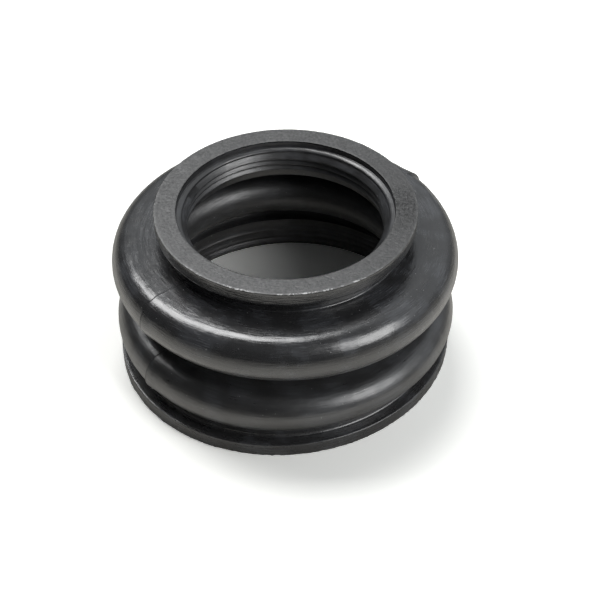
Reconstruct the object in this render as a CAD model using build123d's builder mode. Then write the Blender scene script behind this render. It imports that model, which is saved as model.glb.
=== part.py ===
from build123d import *
import math
import os

os.makedirs("parts", exist_ok=True)

# Rubber bellows boot: one moulded piece of black rubber, round about the Z axis.
# A narrow cuff on top, two equal round folds, and a wide cuff at the base. Each cuff
# is a flange, a groove outside for its clamp band, and sealing lips in its bore.
# The origin is the centre of the base that the boot stands on. Millimetres, +Z up.

# --- folds
fold_od = 100.0            # across the crests
fold_depth = 12.0          # from the crests in to the valley between them
fold_pitch = 20.0          # crest to crest
fold_draft = 6.0           # slope of the side of a fold, degrees
wall = 3.0                 # even wall through the folds
base_to_crest = 13.5       # base to the lower crest
crest_to_top = 16.5        # upper crest to the top face

# --- cuffs
top_lip_bore = 56.5        # across the tips of the lips in the top bore
top_cuff_wall = 4.55       # neck to the roots of the lips
base_neck_inset = 4.3      # base neck, in from the crests
base_cuff_wall = 2.4
top_flange_lip = 3.3       # flange, out from its neck
base_flange_lip = 3.7
flange_thickness = 4.0

# --- plain mouth of each bore
top_mouth_depth = 1.9
top_mouth_set_back = 1.5   # mouth, out from the roots of the lips
top_ledge_drop = 0.65      # sloping ledge at the bottom of the mouth
top_ledge_step = 0.45      # from the ledge down to the first lip
base_mouth_depth = 1.3

# --- sealing lips: square underneath, sloping above, with a narrow flat tip
top_lips = 3
top_lip_height = 1.4
top_lip_pitch = 1.9
top_lip_flat = 0.35
top_lip_gap = 0.1          # bare wall between two lips
base_lips = 3
base_lip_height = 0.8
base_lip_pitch = 2.5
base_lip_flat = 0.4
base_lip_gap = 1.1

# --- edges
flange_edge_radius = 0.6   # where a flange meets its clamp groove
clamp_groove_radius = 0.8  # corners at the bottom of a clamp groove
cuff_end_radius = 0.243    # where a bore opens into the folds

# --- worked out from the sizes
# Crest and valley have the same radius on the middle of the wall, and a straight
# side at fold_draft runs from one to the other.
draft = math.radians(fold_draft)
mid_radius = fold_pitch / 2 - fold_depth * math.tan(draft)
mid_radius *= math.cos(draft) / (1 - math.sin(draft)) / 2
big_radius = mid_radius + wall / 2
small_radius = mid_radius - wall / 2

crest_r = fold_od / 2 - big_radius
valley_r = fold_od / 2 - fold_depth + small_radius
low_z = base_to_crest
valley_z = low_z + fold_pitch / 2
high_z = low_z + fold_pitch
top_z = high_z + crest_to_top

top_lip_r = top_lip_bore / 2
top_root_r = top_lip_r + top_lip_height
top_mouth_r = top_root_r + top_mouth_set_back
top_neck_r = top_root_r + top_cuff_wall
top_flange_r = top_neck_r + top_flange_lip
base_neck_r = fold_od / 2 - base_neck_inset
base_root_r = base_neck_r - base_cuff_wall
base_lip_r = base_root_r - base_lip_height
base_flange_r = base_neck_r + base_flange_lip


def shoulder_height(r, radius):
    """Height at r of the upper fold's sloping top, outside or inside the wall."""
    return high_z + radius / math.cos(draft) + (crest_r - r) * math.tan(draft)


def lips(root_r, tip_r, bottom_z, count, pitch, flat, gap):
    """Corners of a stack of lips, from the underside of the lowest one upward."""
    corners = []
    for i in range(count):
        z = bottom_z + i * pitch
        corners += [(root_r, z), (tip_r, z), (tip_r, z + flat), (root_r, z + pitch - gap)]
    return corners


shoulder_z = shoulder_height(top_neck_r, big_radius)
ceiling_z = shoulder_height(top_root_r, small_radius)
ledge_z = top_z - top_mouth_depth
top_lips_z = ledge_z - top_ledge_drop - top_ledge_step - top_lips * top_lip_pitch
under_angle = math.acos((base_neck_r - crest_r) / big_radius)
under_z = low_z - big_radius * math.sin(under_angle)
sill_z = low_z - small_radius / math.cos(draft)
sill_z -= (crest_r - base_root_r) * math.tan(draft)

side = 90 - fold_draft     # end of a crest's arc, from straight outward

top_corners = lips(
    top_root_r, top_lip_r, top_lips_z, top_lips,
    top_lip_pitch, top_lip_flat, top_lip_gap,
)
base_corners = lips(
    base_root_r, base_lip_r, base_mouth_depth, base_lips,
    base_lip_pitch, base_lip_flat, base_lip_gap,
)


def crest(z, radius, degrees):
    """Point on the arc of a crest, its angle measured up from straight outward."""
    a = math.radians(degrees)
    return (crest_r + radius * math.cos(a), z + radius * math.sin(a))


def valley(radius, degrees):
    """Point on the arc of the valley, its angle measured up from straight inward."""
    a = math.radians(degrees)
    return (valley_r - radius * math.cos(a), valley_z + radius * math.sin(a))


with BuildPart() as bellows_boot:
    # the section of the wall, from the top face down the outside and up the inside
    with BuildSketch(Plane.XZ) as section:
        with BuildLine():
            Polyline(
                (top_mouth_r, top_z),
                (top_flange_r, top_z),
                (top_flange_r, top_z - flange_thickness),
                (top_neck_r, top_z - flange_thickness),
                (top_neck_r, shoulder_z),
                crest(high_z, big_radius, side),
            )
            ThreePointArc(
                crest(high_z, big_radius, side),
                crest(high_z, big_radius, 0),
                crest(high_z, big_radius, -side),
            )
            Line(crest(high_z, big_radius, -side), valley(small_radius, side))
            ThreePointArc(
                valley(small_radius, side),
                valley(small_radius, 0),
                valley(small_radius, -side),
            )
            Line(valley(small_radius, -side), crest(low_z, big_radius, side))
            ThreePointArc(
                crest(low_z, big_radius, side),
                crest(low_z, big_radius, 0),
                (base_neck_r, under_z),
            )
            Polyline(
                (base_neck_r, under_z),
                (base_neck_r, flange_thickness),
                (base_flange_r, flange_thickness),
                (base_flange_r, 0),
                (base_root_r, 0),
                *base_corners,
                (base_root_r, sill_z),
                crest(low_z, small_radius, -side),
            )
            ThreePointArc(
                crest(low_z, small_radius, -side),
                crest(low_z, small_radius, 0),
                crest(low_z, small_radius, side),
            )
            Line(crest(low_z, small_radius, side), valley(big_radius, -side))
            ThreePointArc(
                valley(big_radius, -side),
                valley(big_radius, 0),
                valley(big_radius, side),
            )
            Line(valley(big_radius, side), crest(high_z, small_radius, -side))
            ThreePointArc(
                crest(high_z, small_radius, -side),
                crest(high_z, small_radius, 0),
                crest(high_z, small_radius, side),
            )
            Polyline(
                crest(high_z, small_radius, side),
                (top_root_r, ceiling_z),
                *top_corners,
                (top_root_r, ledge_z - top_ledge_drop),
                (top_mouth_r, ledge_z),
                (top_mouth_r, top_z),
            )
        make_face()

        def corner(r, z):
            """Corner of the section nearest to radius r and height z."""
            return section.vertices().sort_by_distance((r, z, 0))[0]

        # bottoms of the two clamp grooves
        groove = top_z - flange_thickness - shoulder_z
        radius = min(clamp_groove_radius, 0.4 * groove)
        fillet(corner(top_neck_r, top_z - flange_thickness), radius)
        fillet(corner(top_neck_r, shoulder_z), radius)
        groove = under_z - flange_thickness
        radius = min(clamp_groove_radius, 0.4 * groove)
        fillet(corner(base_neck_r, flange_thickness), radius)
        fillet(corner(base_neck_r, under_z), radius)
        # flange edges over the grooves, and the inner ends of the bores
        fillet(corner(top_flange_r, top_z - flange_thickness), flange_edge_radius)
        fillet(corner(base_flange_r, flange_thickness), flange_edge_radius)
        fillet(corner(top_root_r, ceiling_z), cuff_end_radius)
        sill = crest(low_z, small_radius, -side)[0] - base_root_r
        fillet(corner(base_root_r, sill_z), min(cuff_end_radius, 0.4 * sill))
    revolve(axis=Axis.Z)

bellows_boot.part.label = "bellows_boot"
export_step(bellows_boot.part, "parts/bellows_boot.step")

print("height", round(top_z, 2), "volume in cm3", round(bellows_boot.part.volume / 1000, 2))
print("top bore", round(top_lip_r, 2), [(round(r, 2), round(z, 2)) for r, z in top_corners])
print("base bore", round(base_lip_r, 2), [(round(r, 2), round(z, 2)) for r, z in base_corners])
print("ceiling", round(ceiling_z, 2), "sill", round(sill_z, 2), "neck", round(top_neck_r, 2))
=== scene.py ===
import math

import bmesh
import bpy
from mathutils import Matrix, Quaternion, Vector


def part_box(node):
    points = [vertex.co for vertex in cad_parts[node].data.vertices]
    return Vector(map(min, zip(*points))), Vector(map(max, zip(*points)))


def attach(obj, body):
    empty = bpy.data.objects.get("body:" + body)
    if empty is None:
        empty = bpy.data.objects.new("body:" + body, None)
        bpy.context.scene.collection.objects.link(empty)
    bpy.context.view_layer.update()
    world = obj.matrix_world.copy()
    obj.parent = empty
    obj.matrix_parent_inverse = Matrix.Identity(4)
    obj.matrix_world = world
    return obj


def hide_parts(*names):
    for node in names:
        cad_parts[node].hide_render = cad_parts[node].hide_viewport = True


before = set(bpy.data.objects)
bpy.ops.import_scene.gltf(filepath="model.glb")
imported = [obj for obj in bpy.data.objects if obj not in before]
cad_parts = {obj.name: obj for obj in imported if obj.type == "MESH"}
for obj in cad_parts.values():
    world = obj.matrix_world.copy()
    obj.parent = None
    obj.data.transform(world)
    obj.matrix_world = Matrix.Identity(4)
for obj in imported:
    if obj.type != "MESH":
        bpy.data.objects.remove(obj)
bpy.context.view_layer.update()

# Rubber bellows boot: one moulded piece of black rubber, round about the Z axis, standing
# on its wide cuff. Its wall is drawn as a section in the XZ plane and spun about Z. Then
# the trimmed edges are made a little ragged, the joint of the mould is raised, and the soft
# rubber is pulled slightly out of round. Metres, +Z up, the front towards -Y.

# --- folds
FOLD_OD = 0.100            # across the crests
FOLD_DEPTH = 0.012         # from the crests in to the valley between them
FOLD_PITCH = 0.020         # crest to crest
FOLD_DRAFT = math.radians(6)
WALL = 0.003
BASE_TO_CREST = 0.0135
FULL_RADIUS = 0.0072       # upper fold, from the middle of its crest up to its shoulder
TOP_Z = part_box("bellows_boot")[1].z

# --- cuffs
TOP_LIP_R = 0.02825        # tips of the sealing lips in the top bore
TOP_ROOT_R = 0.02965       # bare wall between and under the lips
TOP_MOUTH_R = 0.03115
TOP_NECK_R = 0.0342
TOP_FLANGE_R = 0.0375
BASE_LIP_R = 0.0425
BASE_ROOT_R = 0.0433
BASE_NECK_R = 0.0457
BASE_FLANGE_R = 0.0494
FLANGE_THICKNESS = 0.004

# --- plain mouth of each bore
TOP_MOUTH_DEPTH = 0.0019
TOP_LEDGE_DROP = 0.00065   # bulging ledge at the bottom of the mouth
TOP_LEDGE_STEP = 0.00045
BASE_MOUTH_DEPTH = 0.0013

# --- sealing lips: square underneath, sloping above, with a narrow flat tip
TOP_LIPS = 3
TOP_LIP_PITCH = 0.0019
TOP_LIP_FLAT = 0.00035
TOP_LIP_GAP = 0.0001       # bare wall between two lips
BASE_LIPS = 3
BASE_LIP_PITCH = 0.0025
BASE_LIP_FLAT = 0.0004
BASE_LIP_GAP = 0.0011

# --- edges
FLANGE_EDGE_RADIUS = 0.0006
BASE_EDGE_RADIUS = 0.0003
GROOVE_RADIUS = 0.0008     # corner of a clamp groove beside its flange
FOLD_CORNER_RADIUS = 0.0004       # and beside its fold
CUFF_END_RADIUS = 0.0003
TRIMMED_EDGE_RADIUS = 0.00015
LEDGE_EDGE_RADIUS = 0.00015
LIP_TIP_RADIUS = 0.00012
EDGE_WEAR_AND_HIGHLIGHT_REACH = 0.0008         # how far in the rubbed outer edge of the top face, lightened as painted highlight, reaches

# --- worked out from the sizes
middle_radius = FOLD_PITCH / 2 - FOLD_DEPTH * math.tan(FOLD_DRAFT)
middle_radius *= math.cos(FOLD_DRAFT) / (1 - math.sin(FOLD_DRAFT)) / 2
BIG_RADIUS = middle_radius + WALL / 2
SMALL_RADIUS = middle_radius - WALL / 2
CREST_R = FOLD_OD / 2 - BIG_RADIUS
VALLEY_R = FOLD_OD / 2 - FOLD_DEPTH + SMALL_RADIUS
LOW_Z = BASE_TO_CREST
VALLEY_Z = LOW_Z + FOLD_PITCH / 2
HIGH_Z = LOW_Z + FOLD_PITCH
SIDE = math.pi / 2 - FOLD_DRAFT


def shoulder_height(r, radius):
    """Height at r of the upper fold's sloping top, outside or inside the wall."""
    return HIGH_Z + radius / math.cos(FOLD_DRAFT) + (CREST_R - r) * math.tan(FOLD_DRAFT)


UNDER_FLANGE_Z = TOP_Z - FLANGE_THICKNESS
SHOULDER_Z = shoulder_height(TOP_NECK_R, BIG_RADIUS)
CEILING_Z = shoulder_height(TOP_ROOT_R, SMALL_RADIUS)
LEDGE_Z = TOP_Z - TOP_MOUTH_DEPTH
LEDGE_WIDTH = TOP_MOUTH_R - TOP_ROOT_R
LEDGE_RADIUS = (LEDGE_WIDTH ** 2 + TOP_LEDGE_DROP ** 2) / (2 * TOP_LEDGE_DROP)
TOP_LIPS_Z = LEDGE_Z - TOP_LEDGE_DROP - TOP_LEDGE_STEP - TOP_LIPS * TOP_LIP_PITCH
UNDER_ANGLE = math.acos((BASE_NECK_R - CREST_R) / BIG_RADIUS)
UNDER_Z = LOW_Z - BIG_RADIUS * math.sin(UNDER_ANGLE)
SILL_Z = LOW_Z - SMALL_RADIUS / math.cos(FOLD_DRAFT)
SILL_Z -= (CREST_R - BASE_ROOT_R) * math.tan(FOLD_DRAFT)

# --- mould lines: the two halves of the mould met here, front left and back right
MOULD_LINE = math.radians(36.75)
LINE_SHIFT = math.radians(1.25)   # both lines lie this much nearer to the front right
BACK_LINE = MOULD_LINE - LINE_SHIFT
FRONT_LINE = MOULD_LINE + math.pi + LINE_SHIFT
FLASH_HEIGHT = 0.00012     # thin ridge left along them
PROUD_FRONT = 0.00042      # the halves met out of line: each stands proud on one side
PROUD_BACK = 0.0008
PROUD_FADE = 0.005

# --- division round the axis
FINE_STRIP = math.radians(6)      # finely divided, with a mould line down its middle
FINE_STEPS = 24
SECTORS = 4                # in each half of the boot
SECTOR_STEPS = 43
SMOOTH_ANGLE = math.radians(38)   # sharper edges than this stay sharp

# --- how matt the rubber is, from 0 where the mould was polished to 1
MATT_SHOULDER = (0.2, 0.15, 0.1, 0.1, 0.1, 0.1)   # from the top neck out to the crest
MATT_UPPER_FOLD = 0.12
MATT_LOWER_FOLD = 0.5
MATT_TOP_CUFF = 0.0
MATT_BASE_CUFF = 0.3
MATT_LEDGE = 0.5
MATT_BORE = 0.6
MATT_INSIDE = 0.8

# --- how far the points of the trimmed edges and of the ground face stray
RAGGED_BASE = 0.00018
RAGGED_TOP = 0.00006
RAGGED_DEPTH = 0.0007
GROUND_UNEVEN = 0.00004

# --- out of round: fuller where the back mould line crosses the upper fold's crest
FULLER = 0.0003
FULLER_REACH = 0.026
FULLER_AT = math.radians(46)      # how far up the crest

# --- the base is slightly oval, longest near the mould lines, and the top cuff leans a hair
BASE_OVAL = 0.0234
BASE_OVAL_AT = math.radians(39)
BASE_OVAL_FADE = 0.014
CUFF_SQUEEZE = (-0.009, -0.003)   # along X and Y, as shares of the size
CUFF_SHIFT = (0.00024, -0.00024)
CUFF_FADE = 0.004

# --- how near is the same, when points are picked or merged
SAME_PLACE = 1e-5
SAME_POINT = 1e-6
SAME_TURN = 1e-4

# --- colour of the rubber; each pair of noise levels runs from none to full
RUBBER_BLACK = (0.022, 0.022, 0.023, 1)
RUBBER_HAZE = (0.05, 0.052, 0.057, 1)     # greyish bloom, in streaks and patches
HAZE_SIZE = 0.009
HAZE_LEVELS = (0.42, 0.62)
HAZE_STREAK_LEVELS = (0.2, 0.7)
HAZE_FROM = 0.1            # the top cuff, less matt than this, has hardly any
DUST = (0.14, 0.14, 0.14, 1)
SPECK_SIZE = 0.0009
SPECK_LEVELS = (0.76, 0.79)

# --- gloss of the rubber
RUBBER_IOR = 1.8
GLOSSY = 0.2               # roughness where it isn't matt at all
MATT = 0.5                 # and where it is wholly matt
STREAK_ROUGHNESS = 0.15    # streaks and patches shift it up and down by this much
PATCH_ROUGHNESS = 0.08
RIM_ROUGHNESS = 0.38       # where the surface turns away from the eye
RIM_FACING = (0.45, 0.85)
GROUND_ROUGHNESS = 0.5

# --- relief of the rubber
STREAK_WIDTH = 0.0005
STREAK_TURNS = 9
STREAK_HEIGHT = 0.00006
GRAIN_SIZE = 0.0005
GRAIN_HEIGHT = 0.000007
PATCH_SIZE = 0.0035        # broad unevenness of the moulded skin
PATCH_HEIGHT = 0.00009

# --- the ground top face
GROUND_DEPTH = 0.00012     # how far down its grey goes
GROUND_GREY = (0.0, 0.06)
GROUND_BLOTCHES = (0.4, 1.6)      # how much the patches darken and lighten it
SCUFF_SIZE = 0.0007
SCUFF_LEVELS = (0.25, 0.75)       # of the noise, from dark to light
SCUFF_HEIGHT = 0.00009
PITTED_PLACE = (0.0345, -0.001, TOP_Z)
PITTED_REACH = (0.003, 0.013)     # pits up to the first distance, none past the second
PIT_SIZE = 0.0011
UNPITTED_LEVELS = (0.44, 0.54)    # of the noise, from a pit to whole rubber
PIT_GREY = 0.2             # share of the grey that is left in a pit
PIT_DEPTH = 0.0002
DULL_REACH = (0, 0.05)     # duller all round the pitted place
DULL_GREY = 0.3
EDGE_WEAR_AND_HIGHLIGHT_GREY = 0.05           # rubbed outer edge, lightened all round as a painted highlight of its rounding
CHIP_GREY = 0.6            # raw rubber where the front of that edge is chipped
CHIP_SIZE = 0.0006
CHIP_LEVELS = (0.48, 0.6)
CHIP_CLUSTER_LEVELS = (0.42, 0.56)
CHIPPED_Y = (-0.022, -0.034)      # no chips behind the first, the full number at the second

# --- floor: its white as it lights the boot, as the rubber mirrors it and as it is seen
FLOOR_SIZE = 20
FLOOR_WHITE = 0.85
FLOOR_MIRRORED = 0.95
FLOOR_FAR_SHADE = 0.35           # mirrored, far from the boot: painted shade that darkens the rubber's rims
FLOOR_NEAR_SHADE = 0.5           # mirrored, in a ring round its foot: painted shade
FLOOR_SEEN = 1.32          # lets the shadow fade out into pure white
FAR_REACH = (0.04, 0.26)   # distances from the axis, here and below
RING_INSIDE = (0.048, 0.045)
RING_OUTSIDE = (0.05, 0.058)
PAPER_REACH = (0.3, 0.9)   # further out the camera sees plain white paper
FLOOR_TINT = (1.0, 1.0, 0.97)
MIRROR_TINT = (1.0, 0.97, 0.9)

# --- the room round the table, dark to the front left and light to the back right
ROOM_TINT = (0.93, 0.97, 1.0, 1)
LIGHT_SIDE = (0.8, 0.6)    # direction of the light side along X and Y
ROOM_DARK_SIDE = 0.03
ROOM_LIGHT_SIDE = 0.65
ROOM_SIDES = (-0.75, 0.85)        # how far towards the light side it is dark, and light
ROOM_OVERHEAD = 0.22       # share of the light left straight overhead
OVERHEAD = (0.85, 0.98)    # heights of the direction, 0 at the horizon and 1 overhead
ROOM_LOW = 0.4             # and near the horizon
LOW_DOWN = (0.1, 0.5)

# --- camera, with its lens and sensor in millimetres
CAMERA_STAND = (0, -0.28037, 0.27099)
CAMERA_LOOKS_AT = (0.00424, 0, 0.01371)
CAMERA_ROLL = -0.0014
LENS = 75.9
SENSOR = 36
NEAREST = 0.01             # what it sees at the closest


# ---------------------------------------------------------------- drawing and picking

def pick_points(piece, wanted):
    """Select the points of the piece that pass the test, in edit mode."""
    bpy.ops.mesh.select_mode(type="VERT")
    bpy.ops.mesh.select_all(action="DESELECT")
    shape = bmesh.from_edit_mesh(piece.data)
    for point in shape.verts:
        point.select = wanted(point)
    shape.select_flush(True)
    bmesh.update_edit_mesh(piece.data)


def radius(point):
    return math.hypot(point.co.x, point.co.y)


def azimuth(point):
    """Angle round the axis from +X towards +Y."""
    return math.atan2(point.co.y, point.co.x)


def on_line(point, line):
    """Whether a point lies on the half plane at this azimuth."""
    return abs((azimuth(point) - line + math.pi) % math.tau - math.pi) < SAME_TURN


def set_skin(piece, name, value):
    """How matt the rubber is from this point of the drawing on, or how rubbed its top edge is
    and how much painted highlight that edge carries.
    """
    piece.data.attributes.active = piece.data.attributes[name]
    bpy.ops.mesh.attribute_set(value_float=value)


def run_to(piece, r, z, steps=1):
    """Draw the section straight on to radius r and height z, in so many steps."""
    shape = bmesh.from_edit_mesh(piece.data)
    pen = next(point.co.copy() for point in shape.verts if point.select)
    step = (Vector((r, 0, z)) - pen) / steps
    for _ in range(steps):
        bpy.ops.mesh.extrude_region_move(TRANSFORM_OT_translate={"value": step})


def arc_round(r, z, angle, steps):
    """Draw the section on round the centre (r, z), anticlockwise with r to the right."""
    bpy.ops.mesh.spin(steps=steps, angle=angle, center=(r, 0, z), axis=(0, 1, 0))


def round_corners(piece, corners, corner_radius, steps):
    """Round the corners of the section that stand at these places."""
    def at_corner(point):
        return any(math.hypot(point.co.x - r, point.co.z - z) < SAME_PLACE for r, z in corners)

    pick_points(piece, at_corner)
    bpy.ops.mesh.bevel(offset=corner_radius, segments=steps, affect="VERTICES",
                       clamp_overlap=False)


# ---------------------------------------------------------------- section of the wall

def draw_top_cuff(boot):
    """Outside of the top cuff: the top face, the flange and the neck under it."""
    bpy.ops.transform.translate(value=(TOP_MOUTH_R, 0, TOP_Z))
    set_skin(boot, "matt", MATT_TOP_CUFF)
    run_to(boot, TOP_FLANGE_R - EDGE_WEAR_AND_HIGHLIGHT_REACH, TOP_Z, 8)
    run_to(boot, TOP_FLANGE_R, TOP_Z)
    # the outer corner of the top face: rubbed, and lightened as a painted highlight of its
    # rounding
    set_skin(boot, "worn_edge_and_highlight", 1)
    run_to(boot, TOP_FLANGE_R, TOP_Z - EDGE_WEAR_AND_HIGHLIGHT_REACH)
    set_skin(boot, "worn_edge_and_highlight", 0)
    run_to(boot, TOP_FLANGE_R, UNDER_FLANGE_Z, 5)
    run_to(boot, TOP_NECK_R, UNDER_FLANGE_Z, 2)
    run_to(boot, TOP_NECK_R, SHOULDER_Z, 3)


def draw_upper_fold(boot):
    """Outside of the upper fold: a nearly level shoulder, then round its crest."""
    for i, matt in enumerate(MATT_SHOULDER):
        set_skin(boot, "matt", matt)
        share = (i + 1) / len(MATT_SHOULDER)
        run_to(boot, TOP_NECK_R + (CREST_R - TOP_NECK_R) * share,
               SHOULDER_Z + (HIGH_Z + FULL_RADIUS - SHOULDER_Z) * share)
    set_skin(boot, "matt", MATT_UPPER_FOLD)

    # fuller over the crest than under it: a wide quarter circle, narrowed to the crest
    def on_full_arc(point):
        away = math.hypot(point.co.x - CREST_R, point.co.z - HIGH_Z)
        return point.co.z > HIGH_Z - SAME_PLACE and abs(away - FULL_RADIUS) < SAME_PLACE

    def at_crest(point):
        return math.hypot(point.co.x - CREST_R - BIG_RADIUS, point.co.z - HIGH_Z) < SAME_PLACE

    arc_round(CREST_R, HIGH_Z, -math.pi / 2, 13)
    pick_points(boot, on_full_arc)
    bpy.ops.transform.resize(value=(BIG_RADIUS / FULL_RADIUS, 1, 1),
                             center_override=(CREST_R, 0, 0))
    pick_points(boot, at_crest)
    arc_round(CREST_R, HIGH_Z, -SIDE, 12)


def draw_lower_fold(boot):
    """Outside of the valley and of the lower fold, down to the base neck."""
    inward = math.cos(SIDE)
    upward = math.sin(SIDE)
    run_to(boot, VALLEY_R - SMALL_RADIUS * inward, VALLEY_Z + SMALL_RADIUS * upward, 2)
    set_skin(boot, "matt", MATT_LOWER_FOLD)
    arc_round(VALLEY_R, VALLEY_Z, 2 * SIDE, 12)
    run_to(boot, CREST_R + BIG_RADIUS * inward, LOW_Z + BIG_RADIUS * upward, 2)
    arc_round(CREST_R, LOW_Z, -SIDE - UNDER_ANGLE, 22)


def draw_lips(boot, root_r, tip_r, bottom_z, count, pitch, flat, gap):
    """Draw a stack of sealing lips from the lowest one upwards; gives their tips' corners."""
    tips = []
    for i in range(count):
        z = bottom_z + i * pitch
        run_to(boot, root_r, z)
        run_to(boot, tip_r, z)
        run_to(boot, tip_r, z + flat)
        run_to(boot, root_r, z + pitch - gap)
        tips += [(tip_r, z), (tip_r, z + flat)]
    return tips


def draw_base_cuff(boot):
    """The base cuff, down its outside, under it and up its bore; gives its lips' tips."""
    set_skin(boot, "matt", MATT_BASE_CUFF)
    run_to(boot, BASE_NECK_R, FLANGE_THICKNESS, 3)
    run_to(boot, BASE_FLANGE_R, FLANGE_THICKNESS, 4)
    run_to(boot, BASE_FLANGE_R, 0, 5)
    run_to(boot, BASE_ROOT_R, 0, 4)
    set_skin(boot, "matt", MATT_BORE)
    tips = draw_lips(boot, BASE_ROOT_R, BASE_LIP_R, BASE_MOUTH_DEPTH, BASE_LIPS,
                     BASE_LIP_PITCH, BASE_LIP_FLAT, BASE_LIP_GAP)
    run_to(boot, BASE_ROOT_R, SILL_Z)
    return tips


def draw_inside(boot):
    """The folds from inside, from the base cuff up to the top cuff."""
    inward = math.cos(SIDE)
    upward = math.sin(SIDE)
    set_skin(boot, "matt", MATT_INSIDE)
    run_to(boot, CREST_R + SMALL_RADIUS * inward, LOW_Z - SMALL_RADIUS * upward)
    arc_round(CREST_R, LOW_Z, 2 * SIDE, 12)
    run_to(boot, VALLEY_R - BIG_RADIUS * inward, VALLEY_Z - BIG_RADIUS * upward, 2)
    arc_round(VALLEY_R, VALLEY_Z, -2 * SIDE, 16)
    run_to(boot, CREST_R + SMALL_RADIUS * inward, HIGH_Z - SMALL_RADIUS * upward, 2)
    arc_round(CREST_R, HIGH_Z, 2 * SIDE, 12)
    run_to(boot, TOP_ROOT_R, CEILING_Z, 3)


def draw_top_bore(boot):
    """Up the top bore and over its ledge to the start; gives its lips' tips."""
    set_skin(boot, "matt", MATT_BORE)
    tips = draw_lips(boot, TOP_ROOT_R, TOP_LIP_R, TOP_LIPS_Z, TOP_LIPS,
                     TOP_LIP_PITCH, TOP_LIP_FLAT, TOP_LIP_GAP)
    run_to(boot, TOP_ROOT_R, LEDGE_Z - TOP_LEDGE_DROP)
    set_skin(boot, "matt", MATT_LEDGE)
    arc_round(TOP_MOUTH_R, LEDGE_Z - LEDGE_RADIUS, -math.asin(LEDGE_WIDTH / LEDGE_RADIUS), 6)
    run_to(boot, TOP_MOUTH_R, TOP_Z, 3)
    return tips


def draw_section(boot):
    """The whole section, from the top face down the outside and back up the bores."""
    draw_top_cuff(boot)
    draw_upper_fold(boot)
    draw_lower_fold(boot)
    tips = draw_base_cuff(boot)
    draw_inside(boot)
    tips += draw_top_bore(boot)
    bpy.ops.mesh.select_all(action="SELECT")
    bpy.ops.mesh.remove_doubles(threshold=SAME_POINT)

    # the moulded corners are wide and the trimmed ones nearly sharp
    round_corners(boot, [(TOP_NECK_R, UNDER_FLANGE_Z), (BASE_NECK_R, FLANGE_THICKNESS)],
                  GROOVE_RADIUS, 4)
    round_corners(boot, [(TOP_FLANGE_R, UNDER_FLANGE_Z)], FLANGE_EDGE_RADIUS, 4)
    round_corners(boot, [(BASE_FLANGE_R, FLANGE_THICKNESS)], BASE_EDGE_RADIUS, 3)
    round_corners(boot, [(TOP_NECK_R, SHOULDER_Z), (BASE_NECK_R, UNDER_Z)],
                  FOLD_CORNER_RADIUS, 3)
    round_corners(boot, [(TOP_ROOT_R, CEILING_Z)], CUFF_END_RADIUS, 3)
    trimmed = [(TOP_MOUTH_R, TOP_Z), (TOP_FLANGE_R, TOP_Z), (BASE_FLANGE_R, 0), (BASE_ROOT_R, 0)]
    round_corners(boot, trimmed, TRIMMED_EDGE_RADIUS, 2)
    round_corners(boot, [(TOP_ROOT_R, LEDGE_Z - TOP_LEDGE_DROP), (TOP_MOUTH_R, LEDGE_Z)],
                  LEDGE_EDGE_RADIUS, 2)
    round_corners(boot, tips, LIP_TIP_RADIUS, 2)


def spin_section(boot):
    """Spin the section right round, in fine steps beside the mould lines."""
    half = math.pi - FINE_STRIP
    sector = half / SECTORS

    def spin(angle, steps, copies=False):
        bpy.ops.mesh.spin(steps=steps, dupli=copies, angle=angle, center=(0, 0, 0),
                          axis=(0, 0, -1))

    # a sector, its copies, then the fine strip on the last edge: half of the boot
    bpy.ops.mesh.select_all(action="SELECT")
    spin(sector, SECTOR_STEPS)
    bpy.ops.mesh.select_all(action="SELECT")
    spin(sector * (SECTORS - 1), SECTORS - 1, copies=True)
    pick_points(boot, lambda point: abs(azimuth(point) - half) < SAME_TURN)
    spin(FINE_STRIP, FINE_STEPS)
    bpy.ops.mesh.select_all(action="SELECT")
    spin(math.pi, 1, copies=True)
    bpy.ops.mesh.select_all(action="SELECT")
    bpy.ops.mesh.remove_doubles(threshold=2 * SAME_POINT)
    bpy.ops.mesh.normals_make_consistent(inside=False)
    bpy.ops.transform.rotate(value=-(MOULD_LINE + FINE_STRIP / 2), orient_axis="Z",
                             center_override=(0, 0, 0))


# ---------------------------------------------------------------- what isn't quite round

def rough_edges(boot):
    """Trimmed edges of both flanges, torn a little, and the unevenly ground top face."""
    def at_base_edge(point):
        return radius(point) > BASE_FLANGE_R - RAGGED_DEPTH and point.co.z < RAGGED_DEPTH

    def at_top_edge(point):
        return radius(point) > TOP_FLANGE_R - RAGGED_DEPTH and point.co.z > TOP_Z - RAGGED_DEPTH

    def on_ground_face(point):
        return radius(point) > TOP_MOUTH_R - SAME_PLACE and point.co.z > TOP_Z - SAME_PLACE

    for wanted, amount, seed in ((at_base_edge, RAGGED_BASE, 3),
                                 (at_top_edge, RAGGED_TOP, 5),
                                 (on_ground_face, GROUND_UNEVEN, 7)):
        pick_points(boot, wanted)
        bpy.ops.transform.vertex_random(offset=amount, uniform=0, normal=0, seed=seed)

    # nothing reaches below the floor or over the ground face
    for level, wanted in ((0, lambda point: point.co.z < 0),
                          (TOP_Z, lambda point: point.co.z > TOP_Z)):
        pick_points(boot, wanted)
        bpy.ops.transform.resize(value=(1, 1, 0), center_override=(0, 0, level))


def outside(point):
    """Whether a point lies on the outside of the folds, and not in a cuff or a bore."""
    r = radius(point)
    z = point.co.z
    if z < FLANGE_THICKNESS + GROOVE_RADIUS or z > UNDER_FLANGE_Z:
        return False
    for crest_z in (LOW_Z, HIGH_Z):
        if math.hypot(max(r - CREST_R, 0), z - crest_z) < BIG_RADIUS - WALL / 2:
            return False
    valley = math.hypot(r - VALLEY_R, z - VALLEY_Z)
    if r < VALLEY_R and valley > SMALL_RADIUS + WALL / 2:
        return z > SHOULDER_Z - WALL / 2 and r > TOP_NECK_R - WALL / 4
    return r > BASE_NECK_R - WALL / 4 or z > UNDER_Z


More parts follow.
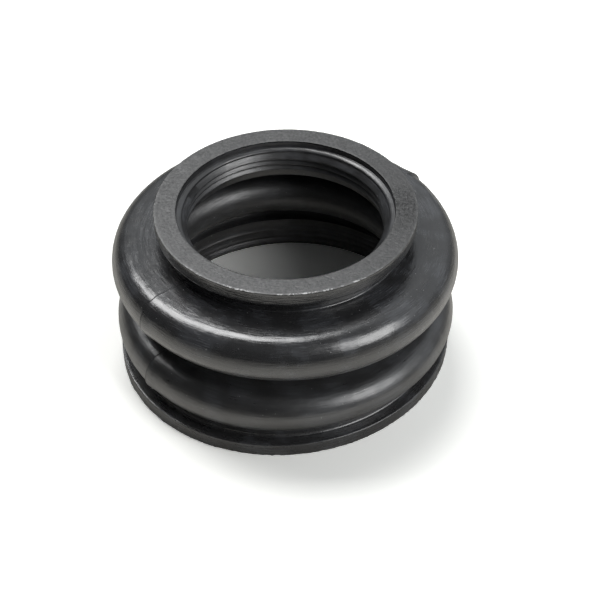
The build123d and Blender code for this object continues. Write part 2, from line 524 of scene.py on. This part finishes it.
def raise_flash(boot):
    """The thin ridge that the joint of the mould left along both lines."""
    def on_either_line(point):
        return outside(point) and any(on_line(point, line) for line in (BACK_LINE, FRONT_LINE))

    pick_points(boot, on_either_line)
    bpy.ops.transform.shrink_fatten(value=FLASH_HEIGHT)


def push(boot, wanted, kept_still, shift, reach):
    """Move the wanted points and, fading with distance, what is near them."""
    pick_points(boot, kept_still)
    bpy.ops.mesh.hide()
    pick_points(boot, wanted)
    bpy.ops.transform.translate(value=shift, use_proportional_edit=True,
                                proportional_edit_falloff="SMOOTH", proportional_size=reach)
    bpy.ops.mesh.reveal(select=False)


def stand_proud(boot, line, amount):
    """Push the mould half beyond a mould line outwards, fading away from the line."""
    def before_line(point):
        return (azimuth(point) - line + SAME_TURN) % math.tau > math.pi or not outside(point)

    push(boot, lambda point: on_line(point, line), before_line,
         (amount * math.cos(line), amount * math.sin(line), 0), PROUD_FADE)


def fill_out(boot):
    """Push the upper fold out and up at the back mould line, the top cuff kept still."""
    slant = Vector((math.cos(FULLER_AT), 0, math.sin(FULLER_AT)))
    slant.rotate(Quaternion((0, 0, 1), BACK_LINE))
    crest = Vector((CREST_R, 0, 0))
    crest.rotate(Quaternion((0, 0, 1), BACK_LINE))
    place = crest + Vector((0, 0, HIGH_Z)) + slant * BIG_RADIUS
    shape = bmesh.from_edit_mesh(boot.data)
    nearest = min(shape.verts, key=lambda point: (point.co - place).length).co.copy()
    push(boot, lambda point: (point.co - nearest).length < SAME_POINT,
         lambda point: point.co.z > UNDER_FLANGE_Z - SAME_PLACE,
         slant * FULLER, FULLER_REACH)


def pull_oval(boot):
    """The boot is not quite round: its base is oval, less so up to the lower fold."""
    c = math.cos(BASE_OVAL_AT)
    s = math.sin(BASE_OVAL_AT)
    pick_points(boot, lambda point: point.co.z < FLANGE_THICKNESS + SAME_PLACE)
    bpy.ops.transform.resize(
        value=(1 + BASE_OVAL, 1 - BASE_OVAL, 1), orient_type="GLOBAL",
        orient_matrix=((c, s, 0), (-s, c, 0), (0, 0, 1)), orient_matrix_type="GLOBAL",
        center_override=(0, 0, 0), use_proportional_edit=True,
        proportional_edit_falloff="SMOOTH", proportional_size=BASE_OVAL_FADE)


def lean_cuff(boot):
    """The top cuff is a hair smaller and off the middle, as it came out of the mould."""
    fade = dict(use_proportional_edit=True, proportional_edit_falloff="SMOOTH",
                proportional_size=CUFF_FADE)
    across, along = CUFF_SQUEEZE
    pick_points(boot, lambda point: point.co.z > UNDER_FLANGE_Z - SAME_PLACE)
    bpy.ops.transform.resize(value=(1 + across, 1 + along, 1), center_override=(0, 0, 0),
                             **fade)
    bpy.ops.transform.translate(value=(*CUFF_SHIFT, 0), **fade)


def bellows_boot():
    """The whole boot as one closed mesh, replacing the plain solid."""
    bpy.ops.mesh.primitive_plane_add(size=0.001)
    boot = bpy.context.object
    boot.name = "boot"
    for name in ("matt", "worn_edge_and_highlight"):
        bpy.ops.geometry.attribute_add(name=name, domain="POINT", data_type="FLOAT")
    bpy.ops.object.mode_set(mode="EDIT")
    bpy.ops.mesh.merge(type="CENTER")
    draw_section(boot)
    spin_section(boot)
    rough_edges(boot)
    raise_flash(boot)
    stand_proud(boot, FRONT_LINE, PROUD_FRONT)
    stand_proud(boot, BACK_LINE, PROUD_BACK)
    fill_out(boot)
    pull_oval(boot)
    lean_cuff(boot)
    bpy.ops.object.mode_set(mode="OBJECT")
    bpy.ops.object.shade_smooth_by_angle(angle=SMOOTH_ANGLE)
    return boot


# ---------------------------------------------------------------- materials

class Recipe:
    """The nodes of one material, or of the room, with short ways to add and join them."""

    def __init__(self, owner):
        owner.use_nodes = True
        self.nodes = owner.node_tree.nodes
        self.links = owner.node_tree.links

    def feed(self, socket, value):
        """Set a socket to a plain value, or join another node's output to it."""
        if isinstance(value, bpy.types.NodeSocket):
            self.links.new(value, socket)
        else:
            socket.default_value = value

    def maths(self, operation, first, second):
        node = self.nodes.new("ShaderNodeMath")
        node.operation = operation
        self.feed(node.inputs[0], first)
        self.feed(node.inputs[1], second)
        return node.outputs["Value"]

    def add(self, first, second):
        return self.maths("ADD", first, second)

    def times(self, first, second):
        return self.maths("MULTIPLY", first, second)

    def larger(self, first, second):
        return self.maths("MAXIMUM", first, second)

    def blend(self, share, low_end, high_end):
        """From one value to another as the share goes from 0 to 1."""
        node = self.nodes.new("ShaderNodeMapRange")
        node.inputs["To Min"].default_value = low_end
        node.inputs["To Max"].default_value = high_end
        self.links.new(share, node.inputs["Value"])
        return node.outputs["Result"]

    def step_up(self, value, start, end):
        """0 on the start's side, 1 on the end's side, smooth between."""
        node = self.nodes.new("ShaderNodeMapRange")
        node.interpolation_type = "SMOOTHSTEP"
        node.inputs["From Min"].default_value = start
        node.inputs["From Max"].default_value = end
        self.links.new(value, node.inputs["Value"])
        return node.outputs["Result"]

    def coordinates(self, kind="Object"):
        return self.nodes.new("ShaderNodeTexCoord").outputs[kind]

    def vector_maths(self, operation, first, second=None):
        node = self.nodes.new("ShaderNodeVectorMath")
        node.operation = operation
        self.links.new(first, node.inputs[0])
        if second is not None:
            node.inputs[1].default_value = second
        return node

    def split(self, vector):
        """The X, Y and Z of a vector."""
        node = self.nodes.new("ShaderNodeSeparateXYZ")
        self.links.new(vector, node.inputs["Vector"])
        return node.outputs["X"], node.outputs["Y"], node.outputs["Z"]

    def vector(self, x, y, z):
        node = self.nodes.new("ShaderNodeCombineXYZ")
        for socket, value in zip(node.inputs, (x, y, z)):
            self.feed(socket, value)
        return node.outputs["Vector"]

    def skin(self, name):
        """What was set on the boot's points while its section was drawn."""
        node = self.nodes.new("ShaderNodeAttribute")
        node.attribute_name = name
        return node.outputs["Fac"]

    def noise(self, place, size, detail):
        """Even grain whose grains are about this size, in metres."""
        node = self.nodes.new("ShaderNodeTexNoise")
        node.inputs["Scale"].default_value = 1 / size
        node.inputs["Detail"].default_value = detail
        self.links.new(place, node.inputs["Vector"])
        return node.outputs["Fac"]

    def mix_colour(self, share, first, second):
        node = self.nodes.new("ShaderNodeMix")
        node.data_type = "RGBA"
        self.feed(node.inputs["Factor"], share)
        self.feed(node.inputs["A"], first)
        self.feed(node.inputs["B"], second)
        return node.outputs["Result"]

    def mix_shader(self, share, first, second):
        node = self.nodes.new("ShaderNodeMixShader")
        self.links.new(share, node.inputs["Fac"])
        self.links.new(first, node.inputs[1])
        self.links.new(second, node.inputs[2])
        return node.outputs["Shader"]


class RubberRecipe(Recipe):
    """A material's nodes, with what the rubber's colour, gloss and relief all follow."""

    def __init__(self, material):
        super().__init__(material)
        self.place = self.coordinates()
        x, self.y, z = self.split(self.place)
        self.matt = self.skin("matt")
        self.patches = self.noise(self.place, PATCH_SIZE, 3)
        self.streaks = self.streaks_round(x, self.y, z, STREAK_WIDTH, STREAK_TURNS)
        # the ground face: everything within a hair of the top
        self.ground = self.step_up(z, TOP_Z - GROUND_DEPTH, TOP_Z)
        self.scuffs = self.noise(self.place, SCUFF_SIZE, 3)
        self.from_pits = self.vector_maths("DISTANCE", self.place, PITTED_PLACE).outputs["Value"]
        self.unpitted = self.larger(
            self.step_up(self.from_pits, *PITTED_REACH),
            self.step_up(self.noise(self.place, PIT_SIZE, 3), *UNPITTED_LEVELS))

    def streaks_round(self, x, y, z, across, turns):
        """Streaks that run round the boot, this wide and about 1/turns radian long."""
        level = self.vector(x, y, 0)
        from_axis = self.vector_maths("LENGTH", level).outputs["Value"]
        around = self.vector_maths("NORMALIZE", level).outputs["Vector"]
        east, north, _ = self.split(around)
        where = self.vector(self.times(east, turns), self.times(north, turns),
                            self.times(z, 1 / across))
        node = self.nodes.new("ShaderNodeTexNoise")
        node.noise_dimensions = "4D"
        node.inputs["Scale"].default_value = 1
        node.inputs["Detail"].default_value = 3
        self.links.new(where, node.inputs["Vector"])
        self.links.new(self.times(from_axis, 1 / across), node.inputs["W"])
        return node.outputs["Fac"]


def ground_grey(rubber):
    """Grey of the ground top face: scuffed, dark where pitted, chipped along the front,
    lightened along its outer edge as wear and painted highlight.
    """
    grey = rubber.blend(rubber.step_up(rubber.scuffs, *SCUFF_LEVELS), *GROUND_GREY)
    grey = rubber.times(grey, rubber.blend(rubber.patches, *GROUND_BLOTCHES))
    grey = rubber.times(grey, rubber.blend(rubber.unpitted, PIT_GREY, 1))
    dull = rubber.step_up(rubber.from_pits, *DULL_REACH)
    grey = rubber.times(grey, rubber.blend(dull, DULL_GREY, 1))

    chips = rubber.step_up(rubber.noise(rubber.place, CHIP_SIZE, 2), *CHIP_LEVELS)
    chips = rubber.times(chips, rubber.step_up(rubber.y, *CHIPPED_Y))
    chips = rubber.times(chips, rubber.step_up(rubber.patches, *CHIP_CLUSTER_LEVELS))
    # the outer edge: rubbed and lightened all round as a painted highlight, chipped to raw
    # rubber at the front
    edge = rubber.times(rubber.skin("worn_edge_and_highlight"), rubber.blend(chips, EDGE_WEAR_AND_HIGHLIGHT_GREY, CHIP_GREY))
    return rubber.add(grey, edge)


def rubber_colour(rubber):
    """Black with a greyish haze and specks of dust, and the grey of the ground face."""
    haze = rubber.step_up(rubber.noise(rubber.place, HAZE_SIZE, 4), *HAZE_LEVELS)
    haze = rubber.times(haze, rubber.step_up(rubber.matt, 0, HAZE_FROM))
    haze = rubber.times(rubber.step_up(rubber.streaks, *HAZE_STREAK_LEVELS), haze)
    specks = rubber.step_up(rubber.noise(rubber.place, SPECK_SIZE, 1), *SPECK_LEVELS)
    colour = rubber.mix_colour(haze, RUBBER_BLACK, RUBBER_HAZE)
    colour = rubber.mix_colour(specks, colour, DUST)
    grey = ground_grey(rubber)
    return rubber.mix_colour(rubber.ground, colour, rubber.vector(grey, grey, grey))


def rubber_roughness(rubber):
    """Streaked and patchy, rougher where the surface turns away from the eye."""
    rough = rubber.blend(rubber.matt, GLOSSY, MATT)
    rough = rubber.add(rough, rubber.blend(rubber.streaks, -STREAK_ROUGHNESS, STREAK_ROUGHNESS))
    rough = rubber.add(rough, rubber.blend(rubber.patches, -PATCH_ROUGHNESS, PATCH_ROUGHNESS))
    facing = rubber.nodes.new("ShaderNodeLayerWeight").outputs["Facing"]
    rim = rubber.step_up(facing, *RIM_FACING)
    rough = rubber.larger(rough, rubber.times(rim, RIM_ROUGHNESS))
    return rubber.larger(rough, rubber.times(rubber.ground, GROUND_ROUGHNESS))


def rubber_relief(rubber):
    """Streaks, grain and unevenness in the skin; scuffs and pits in the ground face."""
    grain = rubber.noise(rubber.place, GRAIN_SIZE, 2)
    relief = rubber.add(rubber.times(rubber.streaks, STREAK_HEIGHT),
                        rubber.times(grain, GRAIN_HEIGHT))
    relief = rubber.add(relief, rubber.times(rubber.patches, PATCH_HEIGHT))
    for mark, height in ((rubber.scuffs, SCUFF_HEIGHT), (rubber.unpitted, PIT_DEPTH)):
        relief = rubber.add(relief, rubber.times(rubber.times(mark, rubber.ground), height))
    bump = rubber.nodes.new("ShaderNodeBump")
    bump.inputs["Distance"].default_value = 1
    rubber.links.new(relief, bump.inputs["Height"])
    return bump.outputs["Normal"]


def black_rubber():
    """Moulded rubber, streaked round the boot; the top face is ground matt and grey."""
    material = bpy.data.materials.new("black_rubber")
    rubber = RubberRecipe(material)
    shader = rubber.nodes["Principled BSDF"]
    shader.inputs["IOR"].default_value = RUBBER_IOR
    rubber.links.new(rubber_colour(rubber), shader.inputs["Base Color"])
    rubber.links.new(rubber_roughness(rubber), shader.inputs["Roughness"])
    rubber.links.new(rubber_relief(rubber), shader.inputs["Normal"])
    return material


def floor_finish():
    """White in the light; where the rubber mirrors it a little warmer, with painted shade far
    off and in a ring round the foot.
    """
    material = bpy.data.materials.new("white_floor")
    paper = Recipe(material)
    paper.nodes.remove(paper.nodes["Principled BSDF"])
    rays = paper.nodes.new("ShaderNodeLightPath")
    seen = rays.outputs["Is Camera Ray"]
    mirrored = paper.larger(rays.outputs["Is Glossy Ray"], rays.outputs["Is Transmission Ray"])
    away = paper.vector_maths("LENGTH", paper.coordinates()).outputs["Value"]

    # painted shade: the far floor dims where the rubber mirrors it
    far = paper.blend(paper.step_up(away, *FAR_REACH),
                      FLOOR_MIRRORED - FLOOR_WHITE, FLOOR_FAR_SHADE - FLOOR_WHITE)
    # painted shade: the floor is dimmed in a ring round the foot where the rubber mirrors it
    off_ring = paper.larger(paper.step_up(away, *RING_INSIDE),
                            paper.step_up(away, *RING_OUTSIDE))
    far = paper.add(far, paper.blend(off_ring, FLOOR_NEAR_SHADE - FLOOR_MIRRORED, 0))
    level = paper.add(FLOOR_WHITE, paper.times(mirrored, far))
    level = paper.add(level, paper.times(seen, FLOOR_SEEN - FLOOR_WHITE))

    tint = paper.nodes.new("ShaderNodeMix")
    tint.data_type = "VECTOR"
    tint.inputs[4].default_value = FLOOR_TINT      # A and B of the kind that mixes vectors
    tint.inputs[5].default_value = MIRROR_TINT
    paper.links.new(mirrored, tint.inputs["Factor"])
    colour = paper.vector_maths("SCALE", tint.outputs[1])
    paper.links.new(level, colour.inputs["Scale"])

    lit = paper.nodes.new("ShaderNodeBsdfDiffuse")
    paper.links.new(colour.outputs["Vector"], lit.inputs["Color"])
    plain = paper.nodes.new("ShaderNodeEmission")
    surface = paper.mix_shader(paper.times(seen, paper.step_up(away, *PAPER_REACH)),
                               lit.outputs["BSDF"], plain.outputs["Emission"])
    paper.links.new(surface, paper.nodes["Material Output"].inputs["Surface"])
    return material


# ---------------------------------------------------------------- floor, light, camera

def white_floor():
    bpy.ops.mesh.primitive_plane_add(size=FLOOR_SIZE)
    floor = bpy.context.object
    floor.name = "floor"
    floor.data.materials.append(floor_finish())


def softbox(name, bearing, elevation, roll, distance, width, height, radiance):
    """A soft oblong light that looks at the boot; bearing from behind it, round to its right.

    Width and height are shares of the distance.
    """
    a = math.radians(bearing)
    e = math.radians(elevation)
    away = Vector((math.sin(a) * math.cos(e), math.cos(a) * math.cos(e), math.sin(e)))
    middle = Vector((0, 0, TOP_Z / 2))
    bpy.ops.object.light_add(type="AREA", location=middle + distance * away)
    lamp = bpy.context.object
    lamp.name = name
    turn = Quaternion((0, 0, 1), roll)
    lamp.rotation_euler = (away.to_track_quat("Z", "Y") @ turn).to_euler()
    lamp.data.shape = "RECTANGLE"
    lamp.data.size = width * distance
    lamp.data.size_y = height * distance
    lamp.data.energy = radiance * math.pi * lamp.data.size * lamp.data.size_y


def dim_room():
    """The room round the table, which the camera sees as white straight behind the boot."""
    world = bpy.data.worlds.new("room")
    bpy.context.scene.world = world
    room = Recipe(world)
    x, y, z = room.split(room.coordinates("Generated"))
    side = room.add(room.times(x, LIGHT_SIDE[0]), room.times(y, LIGHT_SIDE[1]))
    level = room.blend(room.step_up(side, *ROOM_SIDES), ROOM_DARK_SIDE, ROOM_LIGHT_SIDE)
    fall = room.times(room.blend(room.step_up(z, *OVERHEAD), 1, ROOM_OVERHEAD),
                      room.blend(room.step_up(z, *LOW_DOWN), ROOM_LOW, 1))
    lit = room.nodes["Background"]
    lit.inputs["Color"].default_value = ROOM_TINT
    room.links.new(room.times(level, fall), lit.inputs["Strength"])
    plain = room.nodes.new("ShaderNodeBackground")
    plain.inputs["Color"].default_value = (1, 1, 1, 1)
    seen = room.nodes.new("ShaderNodeLightPath").outputs["Is Camera Ray"]
    surface = room.mix_shader(seen, lit.outputs["Background"], plain.outputs["Background"])
    room.links.new(surface, room.nodes["World Output"].inputs["Surface"])


def light_studio():
    """One softbox high behind on the left, one in front on the right, and the dim room."""
    softbox("softbox_back_left", bearing=-37.0, elevation=60.8, roll=-0.63,
            distance=1.6, width=0.726, height=0.456, radiance=7.8)
    softbox("softbox_front_right", bearing=124.3, elevation=36.8, roll=-0.24,
            distance=1.4, width=0.55, height=0.54, radiance=5.6)
    dim_room()


def place_camera():
    """The viewpoint: in front and above, about four boot widths away."""
    stand = Vector(CAMERA_STAND)
    bpy.ops.object.camera_add(location=stand)
    camera = bpy.context.object
    aim = (Vector(CAMERA_LOOKS_AT) - stand).to_track_quat("-Z", "Y")
    camera.rotation_euler = (aim @ Quaternion((0, 0, 1), CAMERA_ROLL)).to_euler()
    camera.data.lens = LENS
    camera.data.sensor_width = SENSOR
    camera.data.clip_start = NEAREST
    bpy.context.scene.camera = camera


# ---------------------------------------------------------------- the scene

bpy.ops.object.select_all(action="DESELECT")
boot = bellows_boot()
boot.data.materials.append(black_rubber())
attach(boot, "root")
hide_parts("bellows_boot")

white_floor()
light_studio()
place_camera()
bpy.context.scene.view_settings.view_transform = "Standard"

print("boot", len(boot.data.vertices), "points", len(boot.data.polygons), "faces")
